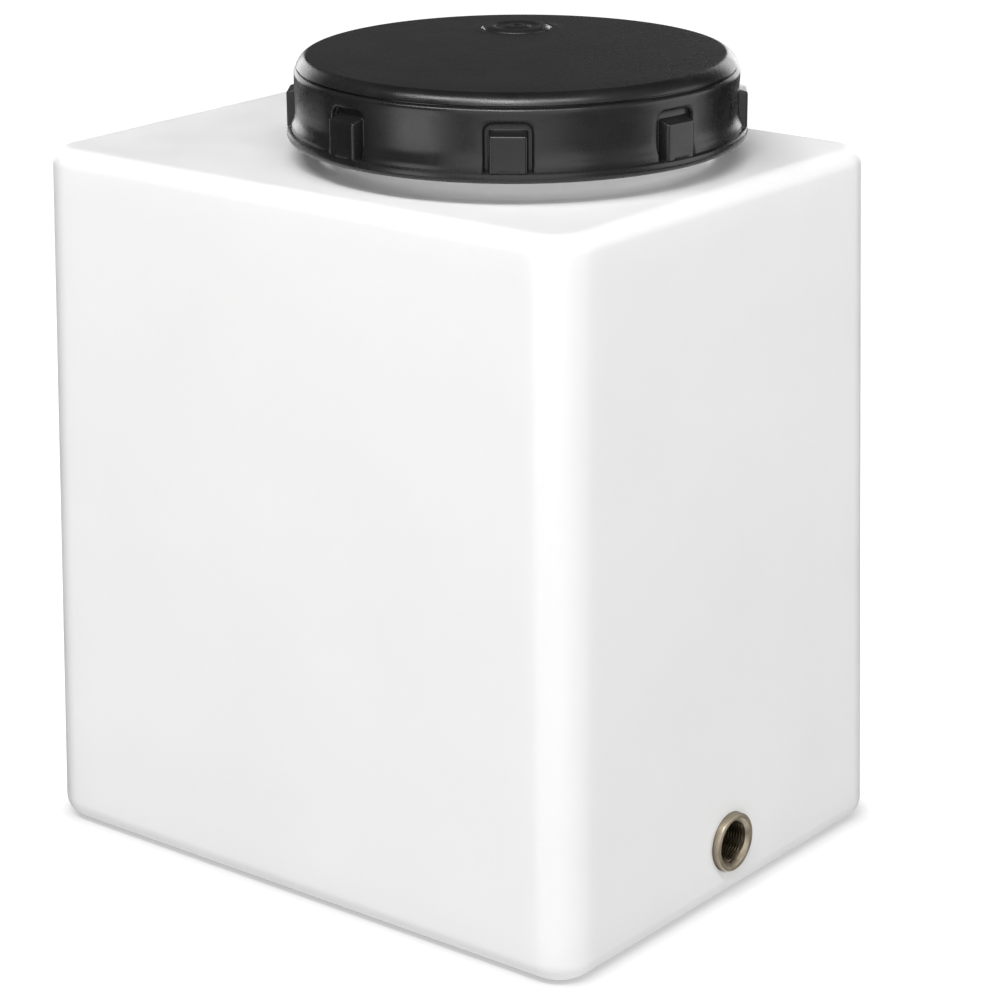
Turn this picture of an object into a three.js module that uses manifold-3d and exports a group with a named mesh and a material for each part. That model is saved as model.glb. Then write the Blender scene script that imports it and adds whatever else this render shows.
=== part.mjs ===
// Open (vented) plastic expansion tank with a screwed lid, a lid breather and a brass outlet.
// Units are millimetres. +Z is up, the origin is the middle of the flat base, and the outlet is on +X.

import * as THREE from 'three';
import { mergeVertices } from 'three/addons/utils/BufferGeometryUtils.js';
import Module from 'manifold-3d';

const wasm = await Module();
wasm.setup();

// ---- driving dimensions ----

const GAP = 0.3;                 // running gap between pieces that touch

const BASE = { x: 384, y: 300 }; // tank plan at the base, before its edges are rounded
const TOP = { x: 368, y: 284 };  // tank plan at the top: the walls lean in for release from the mould
const HEIGHT = 402;              // height of the tank's top face
const WALL = 4.5;                // tank wall thickness
const EDGE_UPRIGHT = 22;         // radius of the four upright edges
const EDGE_TOP = 10;
const EDGE_BASE = 13;

const MOUTH_X = 43.5;            // the mouth is nearer the outlet end
const NECK_WAIST = 105;          // outer radius of the neck where it leaves the tank
const NECK_BODY = 110;           // outer radius of the neck under its thread
const NECK_FOOT = 4;             // fillet where the neck meets the top face
const NECK_RISE = 44.3;          // neck rim above the top face
const WAIST_RISE = 12;           // height of the waist
const THREAD_PITCH = 12;
const THREAD_DEPTH = 4;
const THREAD_ROOT = 5.2;         // axial width of a thread at its root
const THREAD_CREST = 2.4;
const THREAD_TURNS = 1.2;
const THREAD_STEPS = 36;         // steps in one turn of thread
const THREAD_ROOTED = 1.2;       // how far a thread is sunk in its wall
const NECK_THREAD_RISE = 22;     // start of the neck's thread above the top face

const LID_RISE = 12.9;           // bottom of the lid above the top face
const LID_WALL = 120.5;          // outer radius of the lid's skirt
const LID_LIP = 125;             // outer radius of the lid's bottom lip
const LID_BORE = 115.5;          // inner radius of the skirt
const LID_TOP = 46;              // middle of the crown above the lid's bottom
const SHOULDER = { z: 34.9, radius: 2.5 };               // rounded top of the skirt
const GROOVE = { radius: 118, low: 37.2, high: 38.2 };   // groove between skirt and crown
const CROWN = { radius: 120.6, edge: 44.3, across: 8.6, rise: 12.5 };  // and its rounded edge
const LIP = { low: -1, top: 4.3, round: 3.4, edge: 0.6 };              // the lip and the rounding below it
const FLARE = [[122.4, 4.9], [122.3, 8], [121.6, 9.5], [121, 12]];     // skirt over the lip, [radius, height]
const FLARE_TOP = 15;
const BORE_CHAMFER = 1.5;
const DOME = [[0.7, 0.9], [0.4, 0.3]];                   // [share of the radius, drop from the middle]
const LID_UNDER = 40.3;          // underside of the top plate
const SEAT_INNER = 99;           // rib that holds the gasket
const SEAT_Z = 36;

const LUG_COUNT = 8;
const LUG_FIRST = 36;            // degrees from +X
const LUG_WIDTH = 19.4;
const LUG_FACE = 124.5;          // radius of a lug's flat outer face
const LUG_TOP = 25;              // mean height of a lug's sloping ledge
const LUG_SLOPE = 0.9;           // and how far its ends are from that
const LUG_FOOT = 1;
const LUG_EDGE = 0.8;
const POCKET_WIDTH = 25;
const POCKET_FLOOR = 117.8;
const POCKET_TOP = 30;
const POCKET_BASE = 5.5;
const POCKET_CORNER = 5;

const GASKET = { inner: 100, outer: 115, thickness: 4 };

const BREATHER_OFFSET = 61.5;    // breather axis from the lid's axis
const BREATHER_ANGLE = 128.2;    // degrees from +X
const CUP_RADIUS = 19.2;         // recess for the breather
const CUP_FLOOR = 41;
const CUP_PAD = 22.5;            // flat land around the recess
const CUP_BOSS = 24;             // thicker boss under the recess
const CUP_UNDER = 37.5;
const STEM_RADIUS = 7.5;
const STEM_BORE = 4.5;
const STEM_END = 29.5;
const FLANGE = { radius: 13.5, low: 42.4, high: 43.6 };
const CAP = { radius: 18.6, inner: 13.9, skirt: 41.5, under: 46, top: 47.4 };
const CAP_VALLEY = { outer: 12.1, inner: 7.3, depth: 0.8 };
const CAP_RIM = 1.4;             // rounding of the cap's outer edge
const CAP_DIMPLE = 1.9;
const CAP_VENTS = 8;
const VENT = { width: 3, height: 2, wall: 1.5 };
const BREATHER_SEAL = 12.3;      // outer radius of the breather's gasket
const NUT = { corner: 14, height: 6, flange: 15, flangeHeight: 1.6 };
const VALVE = { radius: 7, low: 43.9, high: 44.5 };

const OUTLET_Z = 34.5;
const INSERT = { radius: 16.7, collar: 20, bore: 12.1, inside: 168.2, face: 195.2 };
const COLLAR_SPAN = [176, 182];
const MOUTH_CHAMFER = 1.9;
const BOSS_RADIUS = 24;          // thicker wall round the outlet, inside the tank

const CUT = 5;                   // how far a cutting shape passes the faces that it cuts
const EDGE = 0.8;                // small rounded or bevelled edge

const ROUND = 64;                // segments of a large circle
const SMALL_ROUND = 32;          // segments of a small circle

// ---- solids ----

function solid(geometry) {
  const bare = geometry.index ? geometry.clone() : geometry;
  bare.deleteAttribute('normal');
  bare.deleteAttribute('uv');
  const merged = mergeVertices(bare, 1e-4);
  const positions = new Float32Array(merged.attributes.position.array);
  const faces = [];
  const index = merged.index.array;
  for (let i = 0; i < index.length; i += 3) {
    const [a, b, c] = [index[i], index[i + 1], index[i + 2]];
    if (a !== b && b !== c && c !== a) faces.push(a, b, c);
  }
  const shape = manifold(positions, faces);
  return shape.volume() > 0 ? shape : manifold(positions, faces.reverse());
}

function manifold(vertProperties, faces) {
  const triVerts = new Uint32Array(faces);
  return new wasm.Manifold(new wasm.Mesh({ numProp: 3, vertProperties, triVerts }));
}

function geometryOf(shape) {
  const mesh = shape.getMesh();
  const geometry = new THREE.BufferGeometry();
  geometry.setAttribute('position', new THREE.BufferAttribute(mesh.vertProperties, 3));
  geometry.setIndex(new THREE.BufferAttribute(mesh.triVerts, 1));
  geometry.computeVertexNormals();
  return geometry;
}

// A turned solid about +Z from [radius, height] points.
function turned(profile, segments = ROUND) {
  const points = profile.map(([r, z]) => new THREE.Vector2(r, z));
  return solid(new THREE.LatheGeometry(points, segments).rotateX(Math.PI / 2));
}

function cylinder(radius, low, high, segments = SMALL_ROUND) {
  return turned([[0, low], [radius, low], [radius, high], [0, high]], segments);
}

// A turned ring between two radii and two heights.
function ring(inner, outer, low, high, segments = ROUND) {
  return turned([[inner, low], [outer, low], [outer, high], [inner, high], [inner, low]], segments);
}

// Points of a round corner in a profile, from one angle to another in degrees.
function arc(r, z, radius, from, to, steps = 4) {
  const points = [];
  for (let i = 0; i <= steps; i += 1) {
    const angle = THREE.MathUtils.degToRad(from + (to - from) * i / steps);
    points.push([r + radius * Math.cos(angle), z + radius * Math.sin(angle)]);
  }
  return points;
}

// A closed skin through rings that all have the same number of [x, y, z] points.
function skin(rings) {
  const count = rings[0].length;
  const last = rings.length - 1;
  const positions = rings.flat(2);
  const faces = [];
  for (let i = 0; i < last; i += 1) {
    for (let j = 0; j < count; j += 1) {
      const k = (j + 1) % count;
      const [a, b, c, d] = [i * count + j, i * count + k, (i + 1) * count + j, (i + 1) * count + k];
      faces.push(a, b, d, a, d, c);
    }
  }
  for (let j = 1; j < count - 1; j += 1) {
    faces.push(0, j + 1, j, last * count, last * count + j, last * count + j + 1);
  }
  const geometry = new THREE.BufferGeometry();
  geometry.setAttribute('position', new THREE.Float32BufferAttribute(positions, 3));
  geometry.setIndex(faces);
  return solid(geometry);
}

// One level of the tank: a rectangle with round corners.
function roundedLevel(halfX, halfY, corner, z) {
  const steps = 7;
  const points = [];
  for (let quarter = 0; quarter < 4; quarter += 1) {
    const signX = quarter === 0 || quarter === 3 ? 1 : -1;
    const signY = quarter < 2 ? 1 : -1;
    for (let i = 0; i <= steps; i += 1) {
      const angle = (quarter + i / steps) * Math.PI / 2;
      const x = signX * (halfX - corner) + corner * Math.cos(angle);
      const y = signY * (halfY - corner) + corner * Math.sin(angle);
      points.push([x, y, z]);
    }
  }
  return points;
}

// The tank's block, drawn in by an inset on every side.
function tankBlock(inset) {
  const steps = 5;
  const levels = [];
  const addLevel = (z, edge, angle) => {
    const draw = edge * (1 - Math.cos(angle));
    const share = z / HEIGHT;
    const halfX = THREE.MathUtils.lerp(BASE.x, TOP.x, share) / 2 - inset - draw;
    const halfY = THREE.MathUtils.lerp(BASE.y, TOP.y, share) / 2 - inset - draw;
    levels.push(roundedLevel(halfX, halfY, EDGE_UPRIGHT - inset - draw, z));
  };
  const low = EDGE_BASE - inset;
  const high = EDGE_TOP - inset;
  for (let i = steps; i >= 0; i -= 1) {
    const angle = i / steps * Math.PI / 2;
    addLevel(inset + low * (1 - Math.sin(angle)), low, angle);
  }
  for (let i = 0; i <= steps; i += 1) {
    const angle = i / steps * Math.PI / 2;
    addLevel(HEIGHT - inset - high * (1 - Math.sin(angle)), high, angle);
  }
  return skin(levels);
}

// A right-hand helical thread on a cylinder; side is +1 outside it and -1 inside it.
function thread(radius, side, start, turns, fromAngle) {
  const steps = Math.round(turns * THREAD_STEPS);
  const runOut = 4;             // steps over which a thread's end fades out
  const rings = [];
  for (let i = 0; i <= steps; i += 1) {
    const angle = fromAngle + i / steps * turns * 2 * Math.PI;
    const z = start + i / steps * turns * THREAD_PITCH;
    const grow = Math.min(1, (Math.min(i, steps - i) + 0.4) / runOut);
    const section = [
      [radius - side * THREAD_ROOTED, THREAD_ROOT / 2],
      [radius + side * THREAD_DEPTH * grow, THREAD_CREST / 2],
      [radius + side * THREAD_DEPTH * grow, -THREAD_CREST / 2],
      [radius - side * THREAD_ROOTED, -THREAD_ROOT / 2],
    ];
    rings.push(section.map(([r, dz]) => [r * Math.cos(angle), r * Math.sin(angle), z + dz]));
  }
  return skin(rings);
}

// ---- tank and outlet ----

function neckOutside() {
  const rim = HEIGHT + NECK_RISE;
  const waistTop = HEIGHT + WAIST_RISE;
  const foot = NECK_WAIST + NECK_FOOT;
  return turned([
    [0, HEIGHT - WALL / 2],
    [foot, HEIGHT - WALL / 2],
    ...arc(foot, HEIGHT + NECK_FOOT, NECK_FOOT, 270, 180),
    [NECK_WAIST, waistTop - 1],
    [NECK_BODY, waistTop + 3],
    [NECK_BODY, rim - 1],
    [NECK_BODY - 1, rim],
    [0, rim],
  ]);
}

function neckInside() {
  const rim = HEIGHT + NECK_RISE;
  const waistTop = HEIGHT + WAIST_RISE;
  return turned([
    [0, HEIGHT - 2 * WALL],
    [NECK_WAIST - WALL, HEIGHT - 2 * WALL],
    [NECK_WAIST - WALL, waistTop + 1],
    [NECK_BODY - WALL, waistTop + 5],
    [NECK_BODY - WALL, rim + 1],
    [0, rim + 1],
  ]);
}

function alongX(shape) {
  return shape.rotate([0, 90, 0]).translate([0, 0, OUTLET_Z]);
}

function tankBody() {
  const neckThread = thread(NECK_BODY, 1, HEIGHT + NECK_THREAD_RISE, THREAD_TURNS, 0);
  const neck = neckOutside().add(neckThread).translate([MOUTH_X, 0, 0]);
  const boss = alongX(cylinder(BOSS_RADIUS, INSERT.inside, BASE.x / 2 - WALL / 2));
  const seat = cylinder(INSERT.radius + GAP, INSERT.inside - CUT, INSERT.face);
  const collar = cylinder(INSERT.collar + GAP, COLLAR_SPAN[0] - GAP, COLLAR_SPAN[1] + GAP);
  const hollow = tankBlock(WALL).add(neckInside().translate([MOUTH_X, 0, 0]));
  return tankBlock(0).add(neck).subtract(hollow).add(boss).subtract(alongX(seat.add(collar)));
}

function outletInsert() {
  const { radius, bore, inside, face } = INSERT;
  const mouth = bore + MOUTH_CHAMFER;
  return alongX(turned([
    [bore, inside + 1],
    [bore + 1, inside],
    [radius, inside],
    [radius, COLLAR_SPAN[0]],
    [INSERT.collar, COLLAR_SPAN[0]],
    [INSERT.collar, COLLAR_SPAN[1]],
    [radius, COLLAR_SPAN[1]],
    [radius, face - EDGE],
    [radius - EDGE, face],
    [mouth, face],
    [bore, face - MOUTH_CHAMFER],
    [bore, inside + 1],
  ], SMALL_ROUND));
}

// ---- lid, drawn about its own axis with its bottom at zero ----

function crownEdge() {
  const middle = CROWN.edge - CROWN.rise;
  const start = Math.asin((GROOVE.high - middle) / CROWN.rise);
  const steps = 6;
  const points = [];
  for (let i = 0; i <= steps; i += 1) {
    const angle = start + (Math.PI * 0.47 - start) * i / steps;
    const r = CROWN.radius - CROWN.across * (1 - Math.cos(angle));
    points.push([r, middle + CROWN.rise * Math.sin(angle)]);
  }
  return points;
}

function lidShell() {
  const lip = LID_LIP;
  return turned([
    [0, LID_UNDER],
    [SEAT_INNER, LID_UNDER],
    [SEAT_INNER, SEAT_Z],
    [LID_BORE, SEAT_Z],
    [LID_BORE, LIP.low + BORE_CHAMFER],
    [LID_BORE + BORE_CHAMFER, LIP.low],
    [lip - LIP.round, LIP.low],
    ...arc(lip - LIP.round, LIP.low + LIP.round, LIP.round, -65, 0, 3),
    [lip - LIP.edge, LIP.top],
    ...FLARE,
    [LID_WALL, FLARE_TOP],
    ...arc(LID_WALL - SHOULDER.radius, SHOULDER.z, SHOULDER.radius, 0, 80, 3),
    [GROOVE.radius, GROOVE.low],
    [GROOVE.radius, GROOVE.high],
    ...crownEdge(),
    ...DOME.map(([share, drop]) => [CROWN.radius * share, LID_TOP - drop]),
    [0, LID_TOP],
  ]);
}

// An upright outline seen from outside, pushed from one radius out to another.
function outwards(shape2d, fromRadius, toRadius) {
  const depth = toRadius - fromRadius;
  const geometry = new THREE.ExtrudeGeometry(shape2d, { depth, bevelEnabled: false, curveSegments: 5 });
  geometry.rotateX(Math.PI / 2);
  geometry.rotateZ(Math.PI / 2);
  return solid(geometry.translate(fromRadius, 0, 0));
}

function pocketOutline() {
  const half = POCKET_WIDTH / 2;
  const outline = new THREE.Shape();
  outline.moveTo(-half, POCKET_BASE);
  outline.lineTo(half, POCKET_BASE);
  outline.lineTo(half, POCKET_TOP - POCKET_CORNER);
  outline.absarc(half - POCKET_CORNER, POCKET_TOP - POCKET_CORNER, POCKET_CORNER, 0, Math.PI / 2);
  outline.lineTo(POCKET_CORNER - half, POCKET_TOP);
  outline.absarc(POCKET_CORNER - half, POCKET_TOP - POCKET_CORNER, POCKET_CORNER, Math.PI / 2, Math.PI);
  return outline;
}

function lug() {
  const root = POCKET_FLOOR - 1;
  const side = new THREE.Shape([
    new THREE.Vector2(root, LUG_FOOT),
    new THREE.Vector2(LUG_FACE, LUG_FOOT),
    new THREE.Vector2(LUG_FACE, LUG_TOP - LUG_SLOPE - LUG_EDGE),
    new THREE.Vector2(LUG_FACE - LUG_EDGE, LUG_TOP - LUG_SLOPE),
    new THREE.Vector2(root, LUG_TOP + LUG_SLOPE),
  ]);
  const geometry = new THREE.ExtrudeGeometry(side, { depth: LUG_WIDTH, bevelEnabled: false });
  geometry.translate(0, 0, -LUG_WIDTH / 2);
  return solid(geometry.rotateX(Math.PI / 2));
}

function breatherPlace() {
  const angle = THREE.MathUtils.degToRad(BREATHER_ANGLE);
  return [BREATHER_OFFSET * Math.cos(angle), BREATHER_OFFSET * Math.sin(angle), 0];
}

function lid() {
  let shape = lidShell();
  const pocket = outwards(pocketOutline(), POCKET_FLOOR, LID_LIP + CUT);
  for (let i = 0; i < LUG_COUNT; i += 1) {
    const turn = [0, 0, LUG_FIRST + i * 360 / LUG_COUNT];
    shape = shape.subtract(pocket.rotate(turn)).add(lug().rotate(turn));
  }
  const start = NECK_THREAD_RISE - LID_RISE - THREAD_PITCH / 2;
  shape = shape.add(thread(LID_BORE, -1, start, THREAD_TURNS, 0));
  const boss = cylinder(CUP_BOSS, CUP_UNDER, LID_UNDER + 1).add(cylinder(CUP_PAD, CUP_UNDER, LID_TOP));
  const cup = cylinder(CUP_RADIUS, CUP_FLOOR, LID_TOP + CUT);
  const stemHole = cylinder(STEM_RADIUS + GAP, CUP_UNDER - CUT, LID_TOP);
  return shape.add(boss.translate(breatherPlace())).subtract(cup.add(stemHole).translate(breatherPlace()));
}

function lidGasket() {
  const high = SEAT_Z - GAP;
  return ring(GASKET.inner, GASKET.outer, high - GASKET.thickness, high);
}

// ---- breather, drawn about its own axis ----

function breatherBody() {
  return turned([
    [STEM_BORE, STEM_END],
    [STEM_RADIUS, STEM_END],
    [STEM_RADIUS, FLANGE.low],
    [FLANGE.radius, FLANGE.low],
    [FLANGE.radius, FLANGE.high],
    [STEM_BORE, FLANGE.high],
    [STEM_BORE, STEM_END],
  ], SMALL_ROUND);
}

function breatherGasket() {
  return ring(STEM_RADIUS + GAP, BREATHER_SEAL, CUP_FLOOR + GAP, FLANGE.low - GAP, SMALL_ROUND);
}

function breatherValve() {
  return cylinder(VALVE.radius, VALVE.low, VALVE.high);
}

function breatherCap() {
  const { radius, inner, skirt, under, top } = CAP;
  const valley = CAP_VALLEY;
  const low = top - valley.depth;
  const rim = CAP_RIM;
  let shape = turned([
    [0, under],
    [inner, under],
    [inner, FLANGE.low - GAP],
    [inner - EDGE, FLANGE.low - GAP],
    [inner - EDGE / 2, skirt],
    [radius, skirt],
    ...arc(radius - rim, top - rim, rim, 0, 90, 3),
    [valley.outer, top],
    [valley.outer - valley.depth, low],
    [valley.inner + valley.depth, low],
    [valley.inner, top],
    [CAP_DIMPLE + valley.depth, top],
    [CAP_DIMPLE, low],
    [0, low],
  ], SMALL_ROUND);
  const slot = new THREE.BoxGeometry(radius, VENT.width, VENT.height);
  slot.translate(radius - 1, 0, skirt + VENT.height / 2);
  for (let i = 0; i < CAP_VENTS; i += 1) {
    const vent = solid(slot.clone()).subtract(cylinder(inner - VENT.wall, skirt - 1, under));
    shape = shape.subtract(vent.rotate([0, 0, i * 360 / CAP_VENTS]));
  }
  return shape;
}

function breatherNut() {
  const high = CUP_UNDER - GAP;
  const low = high - NUT.height;
  const hexagon = turned([[0, low], [NUT.corner, low], [NUT.corner, high], [0, high]], 6);
  const flange = cylinder(NUT.flange, high - NUT.flangeHeight, high);
  return hexagon.add(flange).subtract(cylinder(STEM_RADIUS + GAP, low - 1, high + 1));
}

// ---- assembly ----

const finishes = {
  naturalPolyethylene: { color: 0xf0f1ef, roughness: 0.42, metalness: 0 },
  blackPolyethylene: { color: 0x17181a, roughness: 0.45, metalness: 0 },
  blackRubber: { color: 0x202022, roughness: 0.85, metalness: 0 },
  brass: { color: 0xb5904e, roughness: 0.32, metalness: 1 },
};

function piece(name, shape, finish) {
  const mesh = new THREE.Mesh(geometryOf(shape), new THREE.MeshStandardMaterial(finish));
  mesh.name = name;
  return mesh;
}

const tank = new THREE.Group();
tank.add(piece('tank_body', tankBody(), finishes.naturalPolyethylene));
tank.add(piece('outlet_insert', outletInsert(), finishes.brass));

const breather = new THREE.Group();
breather.position.set(...breatherPlace());
breather.add(piece('breather_body', breatherBody(), finishes.blackPolyethylene));
breather.add(piece('breather_gasket', breatherGasket(), finishes.blackRubber));
breather.add(piece('breather_valve', breatherValve(), finishes.blackRubber));
breather.add(piece('breather_cap', breatherCap(), finishes.blackPolyethylene));
breather.add(piece('breather_nut', breatherNut(), finishes.blackPolyethylene));

const closure = new THREE.Group();
closure.position.set(MOUTH_X, 0, HEIGHT + LID_RISE);
closure.add(piece('lid', lid(), finishes.blackPolyethylene));
closure.add(piece('lid_gasket', lidGasket(), finishes.blackRubber));
closure.add(breather);

const assembly = new THREE.Group();
assembly.add(tank, closure);

export default assembly;
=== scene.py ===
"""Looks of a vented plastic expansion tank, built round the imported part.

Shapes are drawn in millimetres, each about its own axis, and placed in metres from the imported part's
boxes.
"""
import math

import bmesh
import bpy
from mathutils import Matrix, Vector


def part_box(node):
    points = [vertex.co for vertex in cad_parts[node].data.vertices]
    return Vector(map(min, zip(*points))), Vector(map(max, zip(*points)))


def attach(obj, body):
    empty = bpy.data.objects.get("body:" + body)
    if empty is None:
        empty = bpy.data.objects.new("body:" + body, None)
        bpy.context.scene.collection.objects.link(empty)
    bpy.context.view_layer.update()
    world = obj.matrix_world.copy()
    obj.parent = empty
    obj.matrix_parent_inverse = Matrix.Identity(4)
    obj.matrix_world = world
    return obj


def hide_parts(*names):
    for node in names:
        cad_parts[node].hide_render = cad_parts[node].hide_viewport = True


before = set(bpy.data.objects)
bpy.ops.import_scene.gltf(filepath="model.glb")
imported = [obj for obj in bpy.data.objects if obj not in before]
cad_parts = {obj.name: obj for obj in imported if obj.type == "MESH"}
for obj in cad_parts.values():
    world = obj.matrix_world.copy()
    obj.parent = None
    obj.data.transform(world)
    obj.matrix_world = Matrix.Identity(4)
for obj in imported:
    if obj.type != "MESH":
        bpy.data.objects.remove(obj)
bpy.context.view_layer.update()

MM = 0.001

# ---- driving sizes of the tank, in millimetres ----

BASE = (384, 300)           # plan at the base
TOP = (368, 284)            # plan at the top: the walls lean in
HEIGHT = 402
WALL = 4.5
EDGE_UPRIGHT = 22
EDGE_TOP = 10
EDGE_BASE = 13

NECK_WAIST = 105            # outer radius where the neck leaves the tank
NECK_BODY = 110             # outer radius under the thread
NECK_FOOT = 4               # fillet at the neck's foot
NECK_RISE = 44.3
WAIST_RISE = 12
NECK_THREAD_RISE = 22

THREAD_PITCH = 12
THREAD_DEPTH = 4
THREAD_HALF = 2.6           # half the axial width of a thread at its root
THREAD_TURNS = 1.2
THREAD_SUNK = 1.2
THREAD_SHIFT = 0.35         # keeps the lid's thread clear of the chamfer at its bottom

# ---- driving sizes of the lid, from its own bottom and axis ----

LID_RISE = 12.9             # lid bottom above the tank's top
LID_LIP = 125
LID_WALL = 120.5
LID_BORE = 115.5
LID_TOP = 46
CROWN_RADIUS = 120.6
CROWN_EDGE = 44.3           # height where the rounded edge of the crown ends
CROWN_ACROSS = 8.6          # half axes of that rounding
CROWN_RISE = 12.5
GROOVE_RADIUS = 118
GROOVE_LOW = 37.2
GROOVE_HIGH = 38.2
LID_UNDER = 40.3
SEAT_INNER = 99
SEAT_Z = 36
LIP_LOW = -1                # bottom of the lip
LIP_ROUND = 3.4             # rounding under the lip
BORE_CHAMFER = 1.5
FLARE_Z = 15                # the skirt is a plain cylinder above this height
SHOULDER_Z = 34.9
SHOULDER_RADIUS = 2.5

LUG_COUNT = 8
LUG_FIRST = 36              # angle of the first lug, in degrees from +X
LUG_HALF = 9.7              # half of its width
LUG_FACE = 124.5
LUG_TOP = (25.8, 24.1)      # height of the sloping ledge at its root and at the face
POCKET_HALF = 12.5
POCKET_FLOOR = 117.8
POCKET_TOP = 30
POCKET_CORNER = 5

GASKET_RADII = (100, 115)
GASKET_SPAN = (31.7, 35.7)  # its lowest and highest heights

# ---- driving sizes of the breather, at the same heights as the lid ----

BREATHER_OFFSET = 61.5      # from the lid's axis
BREATHER_ANGLE = 128.2
CUP_RADIUS = 19.2           # recess in the crown
CUP_FLOOR = 41
CUP_PAD = 22                # flat round the recess
CUP_BOSS = 24               # thicker plastic under it
CUP_UNDER = 37.5
STEM_RADIUS = 7.5
STEM_BORE = 4.5
STEM_END = 29.5
STEM_PLAY = 0.2             # gap round the stem in the lid and in the nut
FLANGE_RADIUS = 13.5
FLANGE_SPAN = (42.4, 43.6)
SEAL_HALF = 0.35            # half the thickness of the ring under the flange
SEAL_RADII = (8.1, 11.95)   # middles of its two rounded edges
SEAL_MIDDLE = 41.7
FLAP_RADIUS = 7
FLAP_SPAN = (43.9, 44.5)
FLAP_EDGE = 0.25
NUT_CORNER = 14
NUT_FLANGE = 15
NUT_HEIGHT = 6
NUT_GAP = 0.3               # clear of the boss above it

CAP_RADIUS = 18.9
CAP_INNER = 13.9
CAP_SKIRT = 41.5            # bottom of the cap's rim
CAP_UNDER = 46
CAP_TOP = 47.5
CAP_DEPTH = 1.1             # depth of the valleys between its rings
CAP_CREST = (14.6, 4.6)     # radii of its two rounded rings
CAP_VALLEY = 9.7
CAP_SLOPE = 4.6             # run of the outer ring's outside
VENT_COUNT = 8
VENT_HALF = 1.5
VENT_REACH = (12.4, 20)

# ---- driving sizes of the outlet, about its own axis ----

OUTLET_Z = 34.5
INSERT_RADIUS = 16.7
INSERT_COLLAR = 20
INSERT_BORE = 12.1
INSERT_INSIDE = 168.2       # its inner end and its face, as distances from the tank's middle
INSERT_FACE = 195.2
INSERT_MOUTH = 1.9          # how much wider than the bore its chamfered mouth is
COLLAR_SPAN = (176, 182)
BOSS_RADIUS = 24            # thicker plastic round the insert, inside the tank
BOSS_SUNK = 2               # how far the boss runs into the wall
SEAT_FIT = 0.05             # gap between brass and plastic
SEAT_LEAD = 0.7             # rounded plastic edge round the brass
PIPE_PITCH = 1.814          # 14 threads to the inch
PIPE_DEPTH = 1.16

ROUND = 128                 # columns round a large circle
SMALL_ROUND = 96
OVERRUN = 3                 # how far a cutting shape runs past what it cuts
MERGE = 1e-4                # points nearer than this are one
CUT_MERGE = 0.004           # the same after a boolean

# ---- where the imported part puts them ----

gasket_low, gasket_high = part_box("lid_gasket")
lid_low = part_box("lid")[0]
MOUTH_X = (gasket_low.x + gasket_high.x) / 2 / MM
LID_BOTTOM = lid_low.z / MM - LIP_LOW    # where the lid's own heights start


# ---- mesh tools ----

def lerp(a, b, t):
    return a + (b - a) * t


def mesh_of(points, faces):
    """A closed mesh with merged points and its faces turned outwards."""
    bm = bmesh.new()
    verts = [bm.verts.new(p) for p in points]
    for face in faces:
        bm.faces.new([verts[i] for i in face])
    bmesh.ops.remove_doubles(bm, verts=bm.verts, dist=MERGE)
    bare = [edge for edge in bm.edges if not edge.link_faces]
    bmesh.ops.delete(bm, geom=bare, context="EDGES")
    bmesh.ops.recalc_face_normals(bm, faces=bm.faces)
    mesh = bpy.data.meshes.new("shape")
    bm.to_mesh(mesh)
    bm.free()
    return mesh


def bands(count, ring_count, start=0, joined=False):
    """Quads between rings of count points, numbered from start; joined also links the last to the first."""
    faces = []
    for i in range(ring_count if joined else ring_count - 1):
        low = start + i * count
        high = start + (i + 1) % ring_count * count
        for j in range(count):
            k = (j + 1) % count
            faces.append((low + j, low + k, high + k, high + j))
    return faces


def loft(rings, joined=False):
    """A skin through rings of equal count, with flat ends or joined into a closed loop."""
    count = len(rings[0])
    faces = bands(count, len(rings), joined=joined)
    if not joined:
        last = (len(rings) - 1) * count
        faces.append(tuple(reversed(range(count))))
        faces.append(tuple(range(last, last + count)))
    return mesh_of([p for ring in rings for p in ring], faces)


def add_rings(points, faces, rings):
    """Adds a skin through rings to a mesh in the making."""
    faces.extend(bands(len(rings[0]), len(rings), len(points)))
    for ring in rings:
        points.extend(ring)


def turn_angles(count):
    return [2 * math.pi * i / count for i in range(count)]


def ring_at(radius, z, angles, x=0, y=0):
    """A ring of points at the given angles about an upright axis."""
    return [(x + radius * math.cos(a), y + radius * math.sin(a), z) for a in angles]


def quarter(steps):
    """A quarter round of radius 1, as (what is left to rise, what it has drawn in) at each step."""
    angles = [i / steps * math.pi / 2 for i in range(steps + 1)]
    return [(1 - math.sin(a), 1 - math.cos(a)) for a in angles]


def turned(profile, count=SMALL_ROUND):
    """A turned solid from a closed run of (radius, height) points."""
    angles = turn_angles(count)
    return loft([ring_at(r, z, angles) for r, z in profile], joined=True)


def arc(r, z, radius, start, end, steps=6):
    """Points of a round corner in a profile, between two angles in degrees."""
    points = []
    for i in range(steps + 1):
        angle = math.radians(start + (end - start) * i / steps)
        points.append((r + radius * math.cos(angle), z + radius * math.sin(angle)))
    return points


def cylinder(radius, low, high):
    angles = turn_angles(SMALL_ROUND)
    return loft([ring_at(radius, low, angles), ring_at(radius, high, angles)])


def boolean(shape, tool, operation):
    """shape joined with tool (UNION), cut by it (DIFFERENCE) or kept inside it (INTERSECT)."""
    scene = bpy.context.scene
    base = bpy.data.objects.new("base", shape)
    other = bpy.data.objects.new("other", tool)
    for o in (base, other):
        scene.collection.objects.link(o)
    cut = base.modifiers.new("cut", "BOOLEAN")
    cut.operation = operation
    cut.object = other
    cut.solver = "EXACT"
    graph = bpy.context.evaluated_depsgraph_get()
    made = bpy.data.meshes.new_from_object(base.evaluated_get(graph))
    for o in (base, other):
        bpy.data.objects.remove(o)
    return cleaned(made)


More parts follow.
